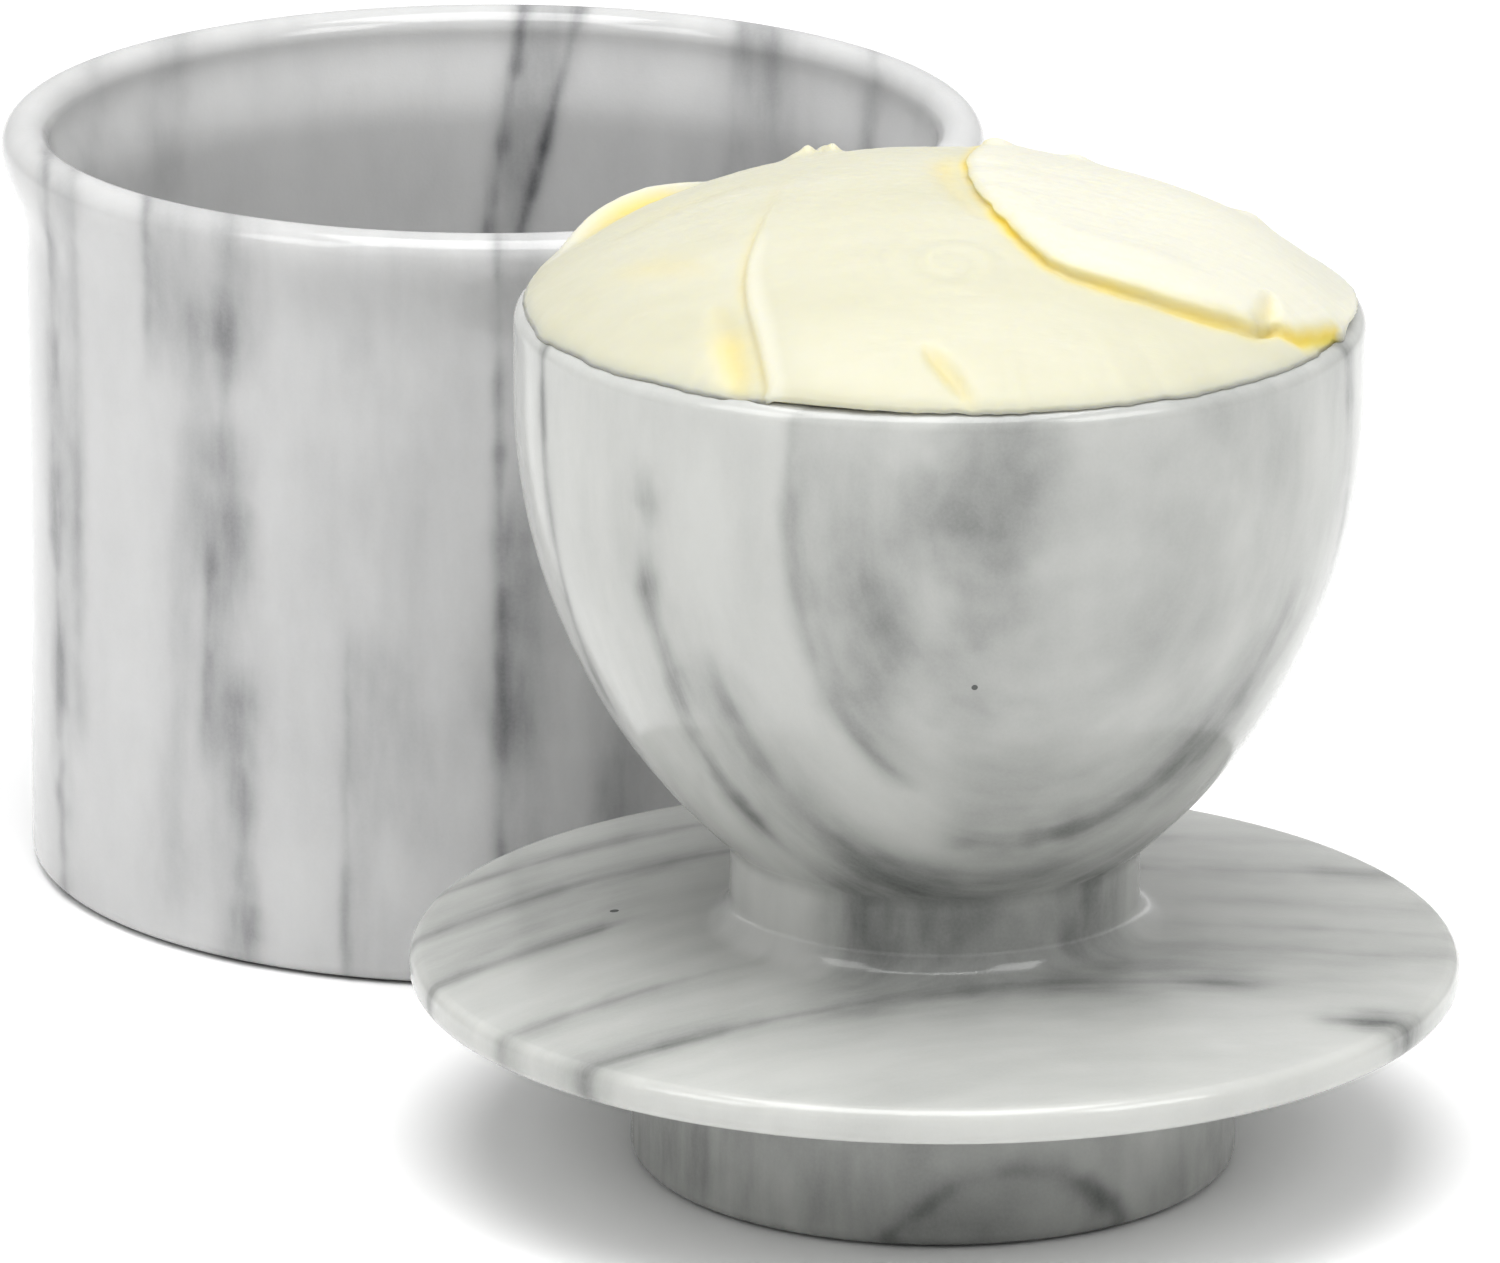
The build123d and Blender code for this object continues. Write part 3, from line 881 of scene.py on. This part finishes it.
def make_butter():
    """The butter as one closed mesh: the worked top, its edge on the rim, and the bowl's shape below."""
    heap = work_butter()
    bowl_round = BOWL_RADIUS - BOWL_FLAT - BUTTER_GAP
    resting = [HEAP_RADIUS - 0.9, BELL_RADIUS - BELL_RIM_ROUND, BOWL_RADIUS + BELL_RIM_ROUND]
    plug = [(r, LID_HEIGHT + BUTTER_GAP / 2 - rim_drop(np.array(r))) for r in resting]
    plug += [(BOWL_RADIUS - BUTTER_GAP, LID_HEIGHT - 2)]
    plug += arc((BOWL_FLAT, BOWL_BOTTOM + bowl_round + 2 * BUTTER_GAP), bowl_round, 0, -90, 20)
    turn = np.linspace(0, math.tau, HEAP_SEGMENTS, endpoint=False)
    rings = [np.stack((x, y, LID_HEIGHT + BUTTER_GAP + z), 1) for x, y, z in zip(heap.x, heap.y, heap.height)]
    rings += [np.stack((r * np.cos(turn), r * np.sin(turn), np.full(turn.shape, z)), 1) for r, z in plug]
    middle = heap.height[0].mean() + LID_HEIGHT + BUTTER_GAP
    points = np.vstack([*rings, (0, 0, middle), (0, 0, BOWL_BOTTOM + 2 * BUTTER_GAP)])
    top_pole, low_pole = len(points) - 2, len(points) - 1
    around = [(j, (j + 1) % HEAP_SEGMENTS) for j in range(HEAP_SEGMENTS)]
    faces = [(top_pole, j, k) for j, k in around]
    for ring in range(len(rings) - 1):
        here, below = ring * HEAP_SEGMENTS, (ring + 1) * HEAP_SEGMENTS
        faces += [(here + j, below + j, below + k, here + k) for j, k in around]
    last = (len(rings) - 1) * HEAP_SEGMENTS
    faces += [(low_pole, last + k, last + j) for j, k in around]
    mesh = bpy.data.meshes.new("butter_heap")
    mesh.from_pydata((points * MM + np.array(lid_axis)).tolist(), [], faces)
    mesh.polygons.foreach_set("use_smooth", [True] * len(mesh.polygons))
    for label, marks in (("crease", heap.crease), ("pale", heap.pale)):
        values = np.zeros(len(points), np.float32)
        values[: marks.size] = marks.ravel()
        mesh.attributes.new(label, "FLOAT", "POINT").data.foreach_set("value", values)
    return bpy.data.objects.new("butter_heap", mesh)


def make_butter_cream():
    """Pale, slightly translucent butter: whiter where the knife left a skin and along ridges, where it is
    partly a painted highlight, and a brighter, deeper yellow in its creases, partly the butter's own and
    partly painted light glowing through the thin edges above.
    """
    material = bpy.data.materials.new("butter cream")
    material.use_nodes = True
    tree = material.node_tree
    tree.nodes.clear()
    coordinates = place(tree, "ShaderNodeTexCoord").outputs["Object"]
    crease = place(tree, "ShaderNodeAttribute", attribute_name="crease").outputs["Fac"]
    pale = place(tree, "ShaderNodeAttribute", attribute_name="pale").outputs["Fac"]
    drawn = place(tree, "ShaderNodeMapping", {"Vector": coordinates, "Scale": (0.35, 1.0, 1.0)}).outputs[0]
    blotches = place(tree, "ShaderNodeTexNoise", {"Vector": drawn, "Scale": 110.0, "Detail": 3.0}).outputs[0]
    smears = place(tree, "ShaderNodeTexNoise", {"Vector": drawn, "Scale": 900.0, "Detail": 3.0}).outputs[0]
    # the pale mix: knife skin and blotches, with painted highlights along the ridges
    skin_and_ridge_sheen = calc(tree, "MULTIPLY_ADD", blotches, 0.9, -0.3, clamp=True)
    skin_and_ridge_sheen = calc(tree, "MAXIMUM", skin_and_ridge_sheen, calc(tree, "MULTIPLY", pale, 0.85))
    body = blend_colours(tree, skin_and_ridge_sheen, BUTTER_BODY, BUTTER_SKIN_AND_SHEEN)
    # painted light in the creases: a brighter, deeper yellow, partly the butter's yellower inside where it
    # tore and partly the glow of light through the thin edge above
    torn_and_crease_glow = calc(tree, "MULTIPLY_ADD", blotches, 2.4, -0.45, clamp=True)
    torn_and_crease_glow = calc(tree, "MULTIPLY", torn_and_crease_glow, crease)
    colour = blend_colours(tree, torn_and_crease_glow, body, BUTTER_CREASE)
    relief = calc(tree, "MULTIPLY_ADD", blotches, 0.6, smears)
    skin = place(tree, "ShaderNodeBump", {"Height": relief, "Strength": 0.35, "Distance": 0.00012}).outputs[0]
    shader = place(
        tree,
        "ShaderNodeBsdfPrincipled",
        {
            "Base Color": colour,
            "Roughness": calc(tree, "MULTIPLY_ADD", smears, 0.2, 0.34),
            "IOR": 1.46,
            "Subsurface Weight": 0.5,
            "Subsurface Radius": (1.0, 0.85, 0.4),
            "Subsurface Scale": 0.003,
            "Normal": skin,
        },
    )
    place(tree, "ShaderNodeOutputMaterial", {"Surface": shader.outputs[0]})
    return material


BUTTER_BODY = (0.525, 0.514, 0.412)
# the paler colour of knife skin, also used for the painted highlights along the ridges
BUTTER_SKIN_AND_SHEEN = (0.618, 0.61, 0.538)
# the creases' yellow: partly the butter's own, partly painted light glowing through the thin edges above
BUTTER_CREASE = (0.70, 0.565, 0.11)
butter = make_butter()
bpy.context.scene.collection.objects.link(butter)
butter.data.materials.append(make_butter_cream())
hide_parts("butter")
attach(butter, "butter")


# ------------------------------------------------------------------------------------------------------------
# The table, the light and the camera. A plain white sheet under a wide soft light overhead, with two weaker
# ones from the front, one on the left and one on the right, seen from a little above through a long lens.
# ------------------------------------------------------------------------------------------------------------

floor_mesh = bpy.data.meshes.new("floor")
FLOOR_REACH = 4.0
floor_mesh.from_pydata(
    [(-FLOOR_REACH, -FLOOR_REACH, -0.0002), (FLOOR_REACH, -FLOOR_REACH, -0.0002),
     (FLOOR_REACH, FLOOR_REACH, -0.0002), (-FLOOR_REACH, FLOOR_REACH, -0.0002)],
    [],
    [(0, 1, 2, 3)],
)
floor = bpy.data.objects.new("floor", floor_mesh)
bpy.context.scene.collection.objects.link(floor)
paper = bpy.data.materials.new("white paper")
paper.use_nodes = True
sheet = paper.node_tree
sheet.nodes.clear()
paper_shader = place(sheet, "ShaderNodeBsdfDiffuse", {"Color": (0.93, 0.93, 0.93, 1)})
place(sheet, "ShaderNodeOutputMaterial", {"Surface": paper_shader.outputs[0]})
floor.data.materials.append(paper)


def softbox(name, place_at, aim_at, width, power):
    """A square studio softbox that faces a point."""
    light = bpy.data.lights.new(name, "AREA")
    light.size = width
    light.energy = power
    lamp = bpy.data.objects.new(name, light)
    lamp.location = place_at
    lamp.rotation_euler = (Vector(aim_at) - Vector(place_at)).to_track_quat("-Z", "Y").to_euler()
    bpy.context.scene.collection.objects.link(lamp)


middle = (0.03, -0.05, 0.05)
softbox("top softbox", (0.0, -0.3, 1.1), middle, 0.9, 10.5)
softbox("key softbox", (-0.75, -0.6, 0.85), middle, 0.5, 2.2)
softbox("fill softbox", (0.75, -0.65, 0.85), middle, 0.5, 2.9)

world = bpy.data.worlds.new("studio")
world.use_nodes = True
world.node_tree.nodes["Background"].inputs["Color"].default_value = (1, 1, 1, 1)
world.node_tree.nodes["Background"].inputs["Strength"].default_value = 0.7
bpy.context.scene.world = world

CAMERA_DOWN = 0.291
CAMERA_DISTANCE = 1.122
CAMERA_ROLL = 0.004
CAMERA_TARGET = Vector((0.0268, -0.0874, 0.0494))
camera_data = bpy.data.cameras.new("camera")
camera_data.sensor_width = 36.0
camera_data.lens = 277.3
camera = bpy.data.objects.new("camera", camera_data)
look = Vector((0, math.cos(CAMERA_DOWN), -math.sin(CAMERA_DOWN)))
upright = look.to_track_quat("-Z", "Y").to_matrix()
camera.matrix_world = Matrix.Translation(CAMERA_TARGET - look * CAMERA_DISTANCE) @ (
    upright @ Matrix.Rotation(CAMERA_ROLL, 3, "Z")
).to_4x4()
bpy.context.scene.collection.objects.link(camera)
bpy.context.scene.camera = camera
bpy.context.scene.view_settings.view_transform = "Standard"
bpy.context.scene.view_settings.gamma = 0.8
